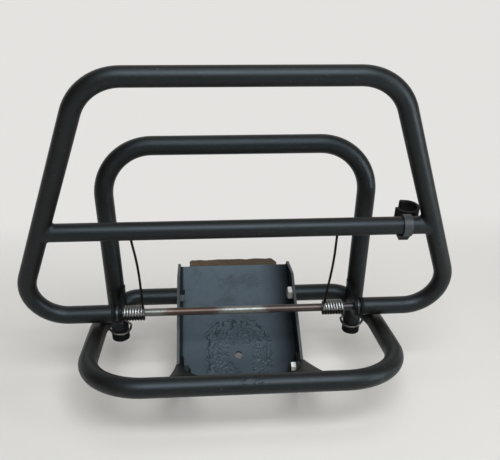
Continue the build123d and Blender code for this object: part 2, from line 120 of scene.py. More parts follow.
NUT_FACE = FLANGE_IN - GUSSET_THICK
FRONT_BOLT = PLATE_FRONT + PLATE_DIR * STUD_BACK + PLATE_UP * STUD_UP

leg_length = (ROD.z + BACK_RISE - FOOT.z) / math.cos(BACK_TILT)
LEG_AXIS = Vector((
    BACK_TOP_HALF - FOOT.x,
    -leg_length * math.sin(BACK_TILT),
    leg_length * math.cos(BACK_TILT),
)).normalized()


def flip(v, side):
    return Vector((side * v.x, v.y, v.z))


# materials
COOL_SHEEN = (0.68, 0.87, 1.0, 1.0)

# places, heights and distances at which the looks change
# painted light on the plate: its colour lightens from the lower height to the upper
PLATE_SHEEN_Z = (-0.020, 0.070)
# painted shade beside the flanges: across the right part of the plate, and in a thin strip by the left
# flange
PLATE_FLANGE_SHADE_X = (0.030, 0.058)
PLATE_DULL_X = (0.040, 0.060)
PLATE_LEFT_SHADE_X = (-0.0600, -0.0588)
FLANGE_EDGE_X = (FLANGE_IN + 0.0001, FLANGE_IN + 0.0004)
# ridged plate paint: painted shade low on the ridges, painted highlight on their tops
RIDGE_SHADE_RISE = (SHEET + 0.00002, SHEET + 0.00018)
RIDGE_HIGHLIGHT_RISE = (SHEET + 0.00032, SHEET + 0.00046)
# painted shade on the clip: its jaw behind the tube and its tab below it
CLIP_SHADE_Y = (-0.044, -0.036)
CLIP_TAB_SHADE_Z = (0.1440, 0.1465)
HEAD_GREY_BAND = (0.0030, 0.0040)
COLLAR_BARE_X = (EAR_OUTER + 0.0016, EAR_OUTER + 0.0022)
ROD_ZONE_X = (-0.1, 0.1)
# painted shade on the underside of the spring coil
COIL_SHADE_Z = (ROD.z - 0.0008, ROD.z + 0.0022)
HOOK_Z = (0.042, 0.046)
LEG_Z = (0.0672, 0.0700)
# painted shade on the lower parts of the zinc bolt head and nut, and the span over which it fades
HEAD_SHADE_Z = REAR.z - 0.0040
NUT_SHADE_Z = FRONT_BOLT.z - 0.0008
SHADE_EASE = 0.0015


class Graph:
    """Node material with short calls for the nodes used here."""

    def __init__(self, name):
        self.material = bpy.data.materials.new(name)
        self.material.use_nodes = True
        self.tree = self.material.node_tree
        self.shader = self.tree.nodes["Principled BSDF"]
        self.coord = self.tree.nodes.new("ShaderNodeTexCoord").outputs["Object"]

    def link(self, source, target):
        self.tree.links.new(source, target)

    def noise(self, scale, detail=4.0, rough=0.55, distort=0.0, vector=None):
        node = self.tree.nodes.new("ShaderNodeTexNoise")
        node.inputs["Scale"].default_value = scale
        node.inputs["Detail"].default_value = detail
        node.inputs["Roughness"].default_value = rough
        node.inputs["Distortion"].default_value = distort
        self.link(vector or self.coord, node.inputs["Vector"])
        return node.outputs["Fac"]

    def stretch(self, scale):
        node = self.tree.nodes.new("ShaderNodeMapping")
        node.inputs["Scale"].default_value = scale
        self.link(self.coord, node.inputs["Vector"])
        return node.outputs["Vector"]

    def ramp(self, source, *stops):
        node = self.tree.nodes.new("ShaderNodeValToRGB")
        ramp = node.color_ramp
        while len(ramp.elements) < len(stops):
            ramp.elements.new(0.5)
        for element, (place, colour) in zip(ramp.elements, stops):
            element.position = place
            element.color = (*colour, 1.0)
        self.link(source, node.inputs["Fac"])
        return node.outputs["Color"]

    def span(self, source, low, high, to_low, to_high):
        node = self.tree.nodes.new("ShaderNodeMapRange")
        node.inputs["From Min"].default_value = low
        node.inputs["From Max"].default_value = high
        node.inputs["To Min"].default_value = to_low
        node.inputs["To Max"].default_value = to_high
        self.link(source, node.inputs["Value"])
        return node.outputs["Result"]

    def math(self, kind, a, b):
        node = self.tree.nodes.new("ShaderNodeMath")
        node.operation = kind
        for socket, value in zip(node.inputs, (a, b)):
            if isinstance(value, (int, float)):
                socket.default_value = value
            else:
                self.link(value, socket)
        return node.outputs["Value"]

    def mix(self, factor, a, b):
        """Colour mix; the sockets at 6 and 7 and the output at 2 are the colour ones."""
        node = self.tree.nodes.new("ShaderNodeMix")
        node.data_type = "RGBA"
        self.link(factor, node.inputs[0])
        for socket, value in ((node.inputs[6], a), (node.inputs[7], b)):
            if isinstance(value, tuple):
                socket.default_value = (*value, 1.0)
            else:
                self.link(value, socket)
        return node.outputs[2]

    def axis(self, letter):
        node = self.tree.nodes.new("ShaderNodeSeparateXYZ")
        self.link(self.coord, node.inputs["Vector"])
        return node.outputs[letter]

    def bump(self, height, strength, distance, under=None):
        node = self.tree.nodes.new("ShaderNodeBump")
        node.inputs["Strength"].default_value = strength
        node.inputs["Distance"].default_value = distance
        self.link(height, node.inputs["Height"])
        if under:
            self.link(under, node.inputs["Normal"])
        return node.outputs["Normal"]

    def glow(self, colour, share):
        """Plain pale look of a backdrop to the camera, in gloss and through glass, where share is 1."""
        path = self.tree.nodes.new("ShaderNodeLightPath").outputs
        seen = self.math("MAXIMUM", path["Is Camera Ray"], path["Is Glossy Ray"])
        seen = self.math("MAXIMUM", seen, path["Is Transmission Ray"])
        light = self.tree.nodes.new("ShaderNodeEmission")
        light.inputs["Color"].default_value = (*colour, 1.0)
        blend = self.tree.nodes.new("ShaderNodeMixShader")
        self.link(self.math("MULTIPLY", seen, share), blend.inputs[0])
        self.link(self.shader.outputs["BSDF"], blend.inputs[1])
        self.link(light.outputs["Emission"], blend.inputs[2])
        self.link(blend.outputs["Shader"], self.tree.nodes["Material Output"].inputs["Surface"])

    def finish(self, colour, rough, normal=None, metal=None):
        self.link(colour, self.shader.inputs["Base Color"])
        self.link(rough, self.shader.inputs["Roughness"])
        if normal:
            self.link(normal, self.shader.inputs["Normal"])
        if isinstance(metal, (int, float)):
            self.shader.inputs["Metallic"].default_value = metal
        elif metal:
            self.link(metal, self.shader.inputs["Metallic"])
        return self.material


def paint(name, base, worn, wear_low, shine):
    """Satin black paint: fine speckle, small specks, dull patches and a few worn places."""
    g = Graph(name)
    speckle = g.noise(1500.0, 2.0, 0.6)
    cloud = g.noise(34.0, 5.0, 0.6)
    scuff = g.noise(120.0, 8.0, 0.7, 0.6, g.stretch((1.0, 1.0, 0.45)))
    patch = g.noise(11.0, 3.0, 0.5)
    worn_mask = g.math(
        "MULTIPLY",
        g.span(scuff, wear_low, wear_low + 0.07, 0.0, 1.0),
        g.span(patch, 0.52, 0.66, 0.0, 1.0),
    )
    dust = g.span(cloud, 0.42, 0.72, 0.0, 1.0)
    colour = g.mix(dust, base, tuple(1.5 * c for c in base))
    colour = g.mix(worn_mask, colour, worn)
    rough = g.span(cloud, 0.3, 0.7, 0.42, 0.48)
    rough = g.math("ADD", rough, g.math("MULTIPLY", worn_mask, 0.12))
    pits = g.span(g.noise(430.0, 3.0, 0.6), 0.66, 0.74, 0.0, 1.0)
    colour = g.mix(g.math("MULTIPLY", pits, 0.5), colour, worn)
    normal = g.bump(pits, 0.5, 0.0004, g.bump(speckle, 0.20, 0.00012))
    g.shader.inputs["Specular IOR Level"].default_value = shine
    g.shader.inputs["Specular Tint"].default_value = COOL_SHEEN
    return g.finish(colour, rough, normal, 0.0)


def plate_paint(name, ridged=False):
    """Plate paint with a painted blue-grey sheen that lightens towards the top, and sooty patches; painted
    shade near black beside the flanges and on the low ridge sides; painted highlight on the ridge tops.
    """
    g = Graph(name)
    speckle = g.noise(1500.0, 2.0, 0.6)
    cloud = g.noise(30.0, 7.0, 0.68)
    fine = g.noise(170.0, 5.0, 0.65)
    # painted light: a blue-grey sheen on the plate that lightens towards its top
    height = g.span(g.axis("Z"), *PLATE_SHEEN_Z, 0.0, 1.0)
    colour = g.mix(height, (0.0130, 0.0180, 0.0235), (0.080, 0.103, 0.124))
    colour = g.mix(g.span(cloud, 0.50, 0.68, 0.0, 0.6), colour, (0.018, 0.024, 0.028))
    colour = g.mix(g.span(fine, 0.55, 0.75, 0.0, 0.35), colour, (0.0165, 0.0215, 0.0255))
    across = g.axis("X")
    # painted shade: near black towards the right flange, and in a thin strip beside the left flange
    colour = g.mix(g.span(across, *PLATE_FLANGE_SHADE_X, 0.0, 0.9), colour, (0.005, 0.0065, 0.0075))
    colour = g.mix(g.span(across, *PLATE_LEFT_SHADE_X, 1.0, 0.0), colour, (0.0035, 0.005, 0.005))
    out = g.math("ABSOLUTE", across, 0.0)
    edges = g.span(out, *FLANGE_EDGE_X, 0.0, 1.0)
    colour = g.mix(edges, colour, (0.046, 0.049, 0.048))
    shine = g.span(across, *PLATE_DULL_X, 0.38, 0.08)
    shine = g.math("MAXIMUM", shine, g.math("MULTIPLY", edges, 0.25))
    if ridged:
        rise = g.math("MULTIPLY", g.axis("Z"), PLATE_UP.z)
        rise = g.math("ADD", rise, g.math("MULTIPLY", g.axis("Y"), PLATE_UP.y))
        # painted shade darkens the low ridge sides, and a painted highlight lightens the ridge tops
        flank_shade = g.span(rise, *RIDGE_SHADE_RISE, 0.0, 0.9)
        colour = g.mix(flank_shade, colour, (0.0065, 0.009, 0.0115))
        crest_highlight = g.span(rise, *RIDGE_HIGHLIGHT_RISE, 0.0, 0.6)
        colour = g.mix(crest_highlight, colour, (0.075, 0.095, 0.112))
    rough = g.span(cloud, 0.3, 0.7, 0.44, 0.54)
    normal = g.bump(speckle, 0.20, 0.00012)
    g.link(shine, g.shader.inputs["Specular IOR Level"])
    g.shader.inputs["Specular Tint"].default_value = COOL_SHEEN
    return g.finish(colour, rough, normal, 0.0)


def rubber(name, base):
    """Dull rubber with dusty patches."""
    g = Graph(name)
    grain = g.noise(900.0, 3.0, 0.6)
    cloud = g.noise(60.0, 4.0, 0.6)
    colour = g.mix(g.span(cloud, 0.4, 0.75, 0.0, 1.0), base, tuple(2.0 * c for c in base))
    rough = g.span(cloud, 0.3, 0.7, 0.6, 0.78)
    g.shader.inputs["Specular IOR Level"].default_value = 0.08
    return g.finish(colour, rough, g.bump(grain, 0.25, 0.0002), 0.0)


def clip_plastic(name):
    """Moulded clip: shiny band in front; the jaw behind and the tab below are duller and darker with
    painted shade.
    """
    g = Graph(name)
    grain = g.noise(1300.0, 3.0, 0.6)
    cloud = g.noise(70.0, 4.0, 0.6)
    # painted shade: the jaw behind the tube and the tab below it are darkened
    behind = g.span(g.axis("Y"), *CLIP_SHADE_Y, 0.0, 1.0)
    behind = g.math("MAXIMUM", behind, g.span(g.axis("Z"), *CLIP_TAB_SHADE_Z, 1.0, 0.0))
    band = g.mix(g.span(cloud, 0.35, 0.75, 0.0, 1.0), (0.024, 0.029, 0.031), (0.038, 0.045, 0.048))
    colour = g.mix(behind, band, (0.005, 0.0053, 0.0053))
    rough = g.math("ADD", g.span(cloud, 0.3, 0.7, 0.34, 0.44), g.math("MULTIPLY", behind, 0.25))
    g.shader.inputs["Specular IOR Level"].default_value = 0.22
    return g.finish(colour, rough, g.bump(grain, 0.18, 0.00015), 0.0)


def fibre_pad(name):
    """Brown pressed fibre, blotched and matt."""
    g = Graph(name)
    fibres = g.noise(260.0, 8.0, 0.75, 1.0, g.stretch((0.35, 1.0, 1.0)))
    blotch = g.noise(45.0, 5.0, 0.6)
    colour = g.mix(g.span(fibres, 0.3, 0.7, 0.0, 1.0), (0.040, 0.026, 0.0130), (0.102, 0.069, 0.036))
    colour = g.mix(g.span(blotch, 0.45, 0.75, 0.0, 0.7), colour, (0.040, 0.033, 0.023))
    return g.finish(colour, g.span(fibres, 0.3, 0.7, 0.75, 0.92), g.bump(fibres, 0.5, 0.0006), 0.0)


def zinc(name, tint, dark, shade_below):
    """Plated steel: fine brushing, grey bloom and brown spots, with painted shade below the given height.
    """
    g = Graph(name)
    brush = g.noise(700.0, 4.0, 0.6, 0.0, g.stretch((0.2, 1.0, 1.0)))
    bloom = g.noise(150.0, 5.0, 0.65)
    spots = g.noise(330.0, 5.0, 0.7, 0.4)
    colour = g.mix(g.span(bloom, 0.38, 0.68, 0.0, 1.0), tint, dark)
    rust = g.span(spots, 0.60, 0.70, 0.0, 0.8)
    colour = g.mix(rust, colour, (0.16, 0.085, 0.04))
    # painted shade: darker below the given height
    shaded_low = g.span(g.axis("Z"), shade_below - SHADE_EASE, shade_below, 1.0, 0.0)
    colour = g.mix(shaded_low, colour, (0.020, 0.018, 0.015))
    rough = g.span(bloom, 0.3, 0.7, 0.28, 0.46)
    return g.finish(colour, rough, g.bump(brush, 0.12, 0.0001), 0.92)


def banded_head(name):
    """Painted bolt head: grey on the flat that faces forward, round its middle height, near black above
    and below it.
    """
    g = Graph(name)
    bloom = g.noise(210.0, 5.0, 0.65)
    off = g.math("ABSOLUTE", g.math("SUBTRACT", g.axis("Z"), REAR.z), 0.0)
    bare = g.span(off, *HEAD_GREY_BAND, 1.0, 0.0)
    grey = g.mix(g.span(bloom, 0.4, 0.7, 0.0, 1.0), (0.090, 0.110, 0.117), (0.060, 0.073, 0.079))
    colour = g.mix(bare, (0.004, 0.005, 0.005), grey)
    g.shader.inputs["Specular IOR Level"].default_value = 0.15
    return g.finish(colour, g.span(bloom, 0.3, 0.7, 0.42, 0.55), g.bump(bloom, 0.15, 0.0002), 0.0)


def collar_steel(name):
    """Spacer on the rod: bare grey next to the ear, black paint next to the carrier."""
    g = Graph(name)
    bloom = g.noise(200.0, 5.0, 0.65)
    out = g.math("ABSOLUTE", g.axis("X"), 0.0)
    bare = g.span(out, *COLLAR_BARE_X, 1.0, 0.0)
    steel = g.mix(g.span(bloom, 0.4, 0.7, 0.0, 1.0), (0.090, 0.096, 0.096), (0.036, 0.038, 0.038))
    colour = g.mix(bare, (0.0036, 0.0046, 0.0050), steel)
    g.shader.inputs["Specular IOR Level"].default_value = 0.15
    metal = g.math("MULTIPLY", bare, 0.7)
    return g.finish(colour, g.span(bloom, 0.3, 0.7, 0.36, 0.5), g.bump(bloom, 0.1, 0.0001), metal)


def rod_steel(name):
    """Bare rod: bright in the middle, coppery rust on either side, grey at the springs."""
    g = Graph(name)
    along = g.axis("X")
    edge = g.noise(70.0, 6.0, 0.7)
    place = g.math("ADD", along, g.span(edge, 0.2, 0.8, -0.012, 0.012))
    zone = g.ramp(
        g.span(place, *ROD_ZONE_X, 0.0, 1.0),
        (0.10, (0.135, 0.140, 0.133)),
        (0.17, (0.072, 0.049, 0.040)),
        (0.36, (0.063, 0.045, 0.039)),
        (0.42, (0.165, 0.172, 0.166)),
        (0.60, (0.170, 0.177, 0.170)),
        (0.66, (0.064, 0.049, 0.045)),
        (0.90, (0.064, 0.051, 0.049)),
        (0.97, (0.040, 0.038, 0.042)),
    )
    pits = g.noise(520.0, 6.0, 0.7, 0.3)
    colour = g.mix(g.span(pits, 0.5, 0.7, 0.0, 0.6), zone, (0.074, 0.048, 0.035))
    scratch = g.noise(600.0, 3.0, 0.5, 0.0, g.stretch((1.0, 0.12, 0.12)))
    rough = g.span(pits, 0.3, 0.7, 0.34, 0.50)
    normal = g.bump(scratch, 0.15, 0.0001, g.bump(pits, 0.25, 0.0002))
    return g.finish(colour, rough, normal, 0.85)


def spring_steel(name):
    """Bright coil darkened underneath by painted shade, grey hook, blackened long leg."""
    g = Graph(name)
    tall = g.axis("Z")
    bloom = g.noise(240.0, 5.0, 0.6)
    spread = g.span(bloom, 0.4, 0.7, 0.0, 1.0)
    bright = g.mix(spread, (0.300, 0.310, 0.303), (0.200, 0.205, 0.199))
    hook = g.mix(spread, (0.140, 0.142, 0.140), (0.070, 0.070, 0.068))
    leg = g.mix(spread, (0.011, 0.009, 0.0075), (0.034, 0.025, 0.018))
    # painted shade: the coil turns dark and less metallic below about the rod's height
    underside_shade = g.span(tall, *COIL_SHADE_Z, 1.0, 0.0)
    hooked = g.span(tall, *HOOK_Z, 1.0, 0.0)
    colour = g.mix(underside_shade, bright, (0.008, 0.0075, 0.006))
    colour = g.mix(hooked, colour, hook)
    colour = g.mix(g.span(tall, *LEG_Z, 0.0, 1.0), colour, leg)
    rough = g.span(bloom, 0.3, 0.7, 0.30, 0.42)
    g.shader.inputs["Specular IOR Level"].default_value = 0.08
    metal = g.math("MAXIMUM", g.math("SUBTRACT", 1.0, underside_shade), hooked)
    metal = g.math("MULTIPLY", metal, 0.9)
    return g.finish(colour, rough, g.bump(bloom, 0.12, 0.0001), metal)


black = paint("black_paint", (0.0036, 0.0025, 0.0013), (0.08, 0.08, 0.077), 0.66, 0.36)
ear_black = paint("ear_paint", (0.0016, 0.0019, 0.0020), (0.05, 0.05, 0.047), 0.68, 0.12)
plate_blue = plate_paint("plate_paint")
plate_ridged = plate_paint("plate_wrinkle_paint", ridged=True)
gusset_black = paint("gusset_paint", (0.0042, 0.0042, 0.0035), (0.040, 0.037, 0.029), 0.62, 0.05)
weld_black = paint("weld_paint", (0.0036, 0.0025, 0.0013), (0.066, 0.063, 0.056), 0.70, 0.36)
bolt_banded = banded_head("bolt_banded")
plug_rubber = rubber("plug_rubber", (0.0030, 0.0032, 0.0029))
bush_rubber = rubber("bush_rubber", (0.0050, 0.0060, 0.0063))
pad_fibre = fibre_pad("pad_fibre")
head_zinc = zinc("head_zinc", (0.74, 0.74, 0.72), (0.50, 0.49, 0.46), HEAD_SHADE_Z)
nut_zinc = zinc("nut_zinc", (0.90, 0.90, 0.88), (0.68, 0.67, 0.64), NUT_SHADE_Z)
rod_metal = rod_steel("rod_steel")
spring_metal = spring_steel("spring_steel")
collar_metal = collar_steel("collar_steel")
clip_black = clip_plastic("clip_plastic")

DRESS = {
    "base_ring": black,
    "backrest_hoop": black,
    "foot_stub_left": black,
    "foot_stub_right": black,
    "hinge_ear_left": ear_black,
    "hinge_ear_right": ear_black,
    "carrier_hoop": black,
    "cross_tube": black,
    "mounting_plate": plate_blue,
    "gusset_left": gusset_black,
    "gusset_right": gusset_black,
    "end_plugs": plug_rubber,
    "tube_bungs": black,
    "hinge_rod": rod_metal,
    "hinge_collars": collar_metal,
    "carrier_bushes": bush_rubber,
    "tube_clip": clip_black,
}
for node, material in DRESS.items():
    mesh = nodes[node].data
    mesh.materials.clear()
    mesh.materials.append(material)


# mesh helpers
def make_piece(name, bm, material, body, crease=None):
    """Object from a bmesh; edges that turn by more than the crease angle stay sharp."""
    mesh = bpy.data.meshes.new(name)
    bmesh.ops.recalc_face_normals(bm, faces=bm.faces)
    bm.to_mesh(mesh)
    bm.free()
    piece = bpy.data.objects.new(name, mesh)
    bpy.context.scene.collection.objects.link(piece)
    mesh.materials.append(material)
    mesh.polygons.foreach_set("use_smooth", [True] * len(mesh.polygons))
    if crease:
        mesh.set_sharp_from_angle(angle=math.radians(crease))
    if body:
        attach(piece, body)
    return piece


def sweep_tube(bm, path, radii, sides):
    """Round wire along a path, with a radius for each point."""
    last = len(path) - 1
    tangents = []
    for i in range(len(path)):
        ahead = path[min(i + 1, last)]
        behind = path[max(i - 1, 0)]
        tangents.append((ahead - behind).normalized())
    normal = tangents[0].orthogonal().normalized()
    rings = []
    for point, tangent, r in zip(path, tangents, radii):
        normal = (normal - tangent * normal.dot(tangent)).normalized()
        other = tangent.cross(normal)
        ring = []
        for k in range(sides):
            a = 2 * math.pi * k / sides
            ring.append(bm.verts.new(point + (normal * math.cos(a) + other * math.sin(a)) * r))
        rings.append(ring)
    for a, b in zip(rings, rings[1:]):
        for k in range(sides):
            bm.faces.new((a[k], a[(k + 1) % sides], b[(k + 1) % sides], b[k]))
    bm.faces.new(rings[0][::-1])
    bm.faces.new(rings[-1])


BEND_STEPS = 6
BEND_SHARE = 0.45  # most of a stretch that one bend may take


def rounded(points, reach):
    """Polyline whose inner corners are eased over a short reach."""
    out = [points[0]]
    for a, b, c in zip(points, points[1:], points[2:]):
        start = b + (a - b).normalized() * min(reach, (a - b).length * BEND_SHARE)
        end = b + (c - b).normalized() * min(reach, (c - b).length * BEND_SHARE)
        for i in range(BEND_STEPS + 1):
            t = i / BEND_STEPS
            out.append(start * (1 - t) ** 2 + b * 2 * t * (1 - t) + end * t ** 2)
    out.append(points[-1])
    return out


RIPPLE_RATE = 1.9
WELD_COUNT = 96
WELD_STEPS = 7
WELD_SUNK = 0.00015
WELD_ROOT = 0.0008
WELD_RIPPLE = 0.05
WELD_DRIFT = 0.2
WELD_CREASE = 60
BEAD_SIDES = 8
BEAD_END = 0.5
BEAD_RIPPLE = 0.10
BEAD_DRIFT = 0.22
BEAD_DRIFT_RATE = 0.21
BEAD_PLANE = 0.3


def bead_radius(base, count, seed):
    """Weld ripples: short regular scales with a little unevenness."""
    out = []
    for i in range(count):
        ripple = BEAD_RIPPLE * math.sin(i * RIPPLE_RATE)
        drift = BEAD_DRIFT * noise.noise(Vector((i * BEAD_DRIFT_RATE, seed, BEAD_PLANE)))
        out.append(base * (1.0 + ripple + drift))
    return out


def fillet_weld(name, body, branch, main, low, reach, seed):
    """Painted weld that eases a branch tube into a main tube; both are (point, axis, radius)."""
    centre, axis, radius = branch
    main_point, main_axis, main_radius = main
    u = axis.orthogonal().normalized()
    v = axis.cross(u)
    bm = bmesh.new()
    rings = []
    for k in range(WELD_COUNT):
        a = 2 * math.pi * k / WELD_COUNT
        outward = u * math.cos(a) + v * math.sin(a)
        start = centre + outward * radius
        # the way along the branch to where its wall meets the main tube solves a quadratic
        gap = start - main_point
        p = gap - main_axis * gap.dot(main_axis)
        q = axis - main_axis * axis.dot(main_axis)
        qa = q.dot(q)
        qb = 2 * p.dot(q)
        qc = p.dot(p) - main_radius ** 2
        root = max(qb * qb - 4 * qa * qc, 0.0)
        corner = start + axis * max((-qb + math.sqrt(root)) / (2 * qa), low)
        drift = WELD_DRIFT * noise.noise(Vector((math.cos(a), math.sin(a), seed)))
        ripple = 1.0 + WELD_RIPPLE * math.sin(k * RIPPLE_RATE) + drift
        high = corner + axis * reach * ripple - outward * WELD_SUNK
        gap = corner + outward * reach * ripple - main_point
        along = main_axis * gap.dot(main_axis)
        wide = main_point + along + (gap - along).normalized() * (main_radius - WELD_SUNK)
        ring = []
        for i in range(WELD_STEPS + 1):
            t = i / WELD_STEPS
            spot = high * (1 - t) ** 2 + corner * 2 * t * (1 - t) + wide * t ** 2
            ring.append(bm.verts.new(spot))
        ring.append(bm.verts.new(corner - outward * WELD_ROOT - axis * WELD_ROOT))
        rings.append(ring)
    size = WELD_STEPS + 2
    for a, b in zip(rings, rings[1:] + rings[:1]):
        for i in range(size):
            bm.faces.new((a[i], a[(i + 1) % size], b[(i + 1) % size], b[i]))
    return make_piece(name, bm, weld_black, body, WELD_CREASE)


def weld_line(name, body, path, base, seed):
    """Painted weld bead along a path, thinner at both ends."""
    bm = bmesh.new()
    radii = bead_radius(base, len(path), seed)
    radii[0] *= BEAD_END
    radii[-1] *= BEAD_END
    sweep_tube(bm, path, radii, BEAD_SIDES)
    return make_piece(name, bm, weld_black, body)


# weld beads
COPE_LOW = 0.0034
LEG_WELD = 0.0024
STUB_WELD = 0.0022
CROSS_WELD = 0.0042
EAR_WELD_R = 0.0016
EAR_WELD_LOW = 0.004
EAR_WELD_HIGH = 0.016
EAR_WELD_OUT = 0.0004
EAR_WELD_AHEAD = 0.0042
EAR_WELD_STEPS = 17
GUSSET_WELD_R = 0.0013
GUSSET_WELD_AT = (0.058, 0.062)
GUSSET_WELD_FROM = -55
GUSSET_WELD_TURN = 75
GUSSET_WELD_STEPS = 21

# starts of the noise that makes each weld uneven
LEG_SEED = 2.0
STUB_SEED = 5.0
CROSS_SEED = 9.0
EAR_SEED = 13.0
GUSSET_SEED = 17.0

for side, word in ((-1, "left"), (1, "right")):
    foot = flip(FOOT, side)
    leg = flip(LEG_AXIS, side)
    diagonal = flip(DIAG_OUT - DIAG_IN, side).normalized()
    ring_tube = (foot, diagonal, RING_R)
    leg_tube = (foot, leg, BACK_R)
    stub_tube = (foot, leg * -1, BACK_R)
    fillet_weld("weld_leg_" + word, "frame", leg_tube, ring_tube, COPE_LOW, LEG_WELD, side + LEG_SEED)
    fillet_weld("weld_stub_" + word, "frame", stub_tube, ring_tube, COPE_LOW, STUB_WELD, side + STUB_SEED)

    run = flip(Vector((-CARRIER_CLOSE, 0.0, 0.0)), side) + CARRIER_UP * CARRIER_LENGTH
    cross_half = CARRIER_LOW_HALF - CARRIER_CLOSE * CROSS_REACH / CARRIER_LENGTH
    end = CROSS_MID + Vector((side * cross_half, 0.0, 0.0))
    side_tube = (end, run.normalized(), CARRIER_R)
    cross_tube = (end, Vector((-side, 0.0, 0.0)), CROSS_R)
    fillet_weld("weld_cross_" + word, "carrier", cross_tube, side_tube, 0.0, CROSS_WELD, side + CROSS_SEED)

    near = foot + leg * ((ROD.z - EAR_WELD_LOW - foot.z) / leg.z)
    far = foot + leg * ((ROD.z + EAR_WELD_HIGH - foot.z) / leg.z)
    outer = side * (EAR_OUTER + EAR_WELD_OUT)
    offset = Vector((outer - (near.x + far.x) / 2, -EAR_WELD_AHEAD, 0.0))
    path = [near.lerp(far, i / EAR_WELD_STEPS) + offset for i in range(EAR_WELD_STEPS + 1)]
    weld_line("weld_ear_" + word, "frame", path, EAR_WELD_R, side + EAR_SEED)

    for k, x in enumerate(GUSSET_WELD_AT):
        path = []
        for i in range(GUSSET_WELD_STEPS + 1):
            a = math.radians(GUSSET_WELD_FROM + GUSSET_WELD_TURN * i / GUSSET_WELD_STEPS)
            spot = Vector((side * x, FRONT_Y + RING_R * math.cos(a), RING_Z + RING_R * math.sin(a)))
            path.append(spot)
        seed = side + GUSSET_SEED + k
        weld_line("weld_gusset_%s_%d" % (word, k), "frame", path, GUSSET_WELD_R, seed)


# torsion springs
COIL_WIRE_R = COIL_PITCH / 2 - 0.00004  # thick enough for the turns to close up
COIL_OFF = 0.0004
COIL_STEPS = 32
WIRE_SIDES = 12
LEG_RISE = 0.014
LEG_SPREAD = 0.007
LEG_TIP_IN = 0.0024
LEG_BOW_AT = 0.42
LEFT_BOW = -0.0022
RIGHT_BOW = 0.0018
LEG_EASE = 0.018
HOOK_DROP = 0.0320
HOOK_AHEAD = 0.007
HOOK_ABOVE = 0.006
HOOK_EASE = 0.004
LOOP_GAP = 0.0003
LOOP_EASE = 0.001
LOOP_WRAP = 0.002
LOOP_DIP = 0.0055
LOOP_FROM = 170
LOOP_TURN = 218
LOOP_STEPS = 28
LOOP_DIP_STEPS = 22
RIGHT_COIL_SHIFT = 0.010
BLEND_RISE = 0.0025


def spring_path(side, shift, bow):
    """Wire from the tip of the long leg, down to the coil and round the anchor loop."""
    outer = EAR_INNER - COIL_OFF - shift
    rise = COIL_TURNS * COIL_PITCH
    inner = outer - rise - 2 * WIRE_R
    leg_x = Vector((side * (inner + WIRE_R), 0.0, 0.0))
    root = ROD + leg_x + CARRIER_FRONT * COIL_R
    knee = root + CARRIER_UP * LEG_RISE
    spread = Vector((side * LEG_SPREAD, 0.0, 0.0))
    tip = ROD + leg_x + spread + CARRIER_UP * (CROSS_REACH - CROSS_R + LEG_TIP_IN)
    middle = tip.lerp(knee, LEG_BOW_AT) + Vector((side * bow, 0.0, 0.0))
    points = rounded([tip, middle, knee, root], LEG_EASE)[:-1]
    radii = [WIRE_R] * len(points)
    turns = int(COIL_TURNS * COIL_STEPS)
    across = CARRIER_UP * -1
    for i in range(turns + 1):
        t = i / turns
        a = 2 * math.pi * COIL_TURNS * t
        spot = ROD + leg_x + Vector((side * rise * t, 0.0, 0.0))
        points.append(spot + (CARRIER_FRONT * math.cos(a) + across * math.sin(a)) * COIL_R)
    radii += [COIL_WIRE_R] * (turns + 1)
    foot = flip(FOOT, side)
    leg = flip(LEG_AXIS, side)
    stub = foot - leg * ((foot.z - ROD.z + HOOK_DROP) / leg.z)
    loop_r = BACK_R + LOOP_GAP + WIRE_R
    loop_half = loop_r + LOOP_EASE
    hook_knee = Vector((side * (EAR_INNER - 2 * WIRE_R), stub.y - HOOK_AHEAD, stub.z + HOOK_ABOVE))
    loop_in = stub + Vector((-side * loop_half, LOOP_WRAP, 0.0))
    points += rounded([points[-1], hook_knee, loop_in], HOOK_EASE)[1:]
    for i in range(1, LOOP_STEPS + 1):
        a = math.radians(LOOP_FROM + LOOP_TURN * i / LOOP_STEPS)
        dip = -LOOP_DIP * math.sin(math.pi * min(i / LOOP_DIP_STEPS, 1.0))
        points.append(stub + Vector((side * loop_half * math.cos(a), loop_r * math.sin(a), dip)))
    radii += [WIRE_R] * (len(points) - len(radii))
    return points, radii, outer - WIRE_R, inner + WIRE_R


for side, word, shift, bow in ((-1, "left", 0.0, LEFT_BOW), (1, "right", RIGHT_COIL_SHIFT, RIGHT_BOW)):
    path, radii, hook_x, leg_x = spring_path(side, shift, bow)
    bm = bmesh.new()
    sweep_tube(bm, path, radii, WIRE_SIDES)
    spring = make_piece("coil_spring_" + word, bm, spring_metal, None)
    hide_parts("spring_" + word)
    end = Vector((side * leg_x, ROD.y, ROD.z + BLEND_RISE))
    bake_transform(spring)


# bolts and nuts
LATHE_SIDES = 48
HEX_HALF = math.radians(30)  # half the angle that one flat takes up
CHAMFER = math.radians(30)
HEX_CREASE = 24
STUD_CREASE = 40


def lathe(bm, centre, axis, start, rings, closed=False):
    """Turned form: each ring gives radius and height at an angle from the start direction."""
    other = axis.cross(start)
    loops = []
    for ring in rings:
        loop = []
        for k in range(LATHE_SIDES):
            a = 2 * math.pi * k / LATHE_SIDES
            radius, height = ring(a)
            spot = centre + axis * height + (start * math.cos(a) + other * math.sin(a)) * radius
            loop.append(bm.verts.new(spot))
        loops.append(loop)
    pairs = list(zip(loops, loops[1:]))
    if closed:
        pairs.append((loops[-1], loops[0]))
    for a, b in pairs:
        for k in range(LATHE_SIDES):
            after = (k + 1) % LATHE_SIDES
            bm.faces.new((a[k], a[after], b[after], b[k]))
    if not closed:
        bm.faces.new(loops[0][::-1])
        bm.faces.new(loops[-1])


def round_ring(radius, height):
    return lambda a: (radius, height)


def hex_ring(flats, height, face=None):
    """Hexagon; with a face radius given, its corners drop as a 30 degree chamfer cuts them."""
    def ring(a):
        radius = flats / 2 / math.cos(HEX_HALF - a % (2 * HEX_HALF))
        drop = max(radius - face, 0.0) * math.tan(CHAMFER) if face else 0.0
        return radius, height - drop
    return ring


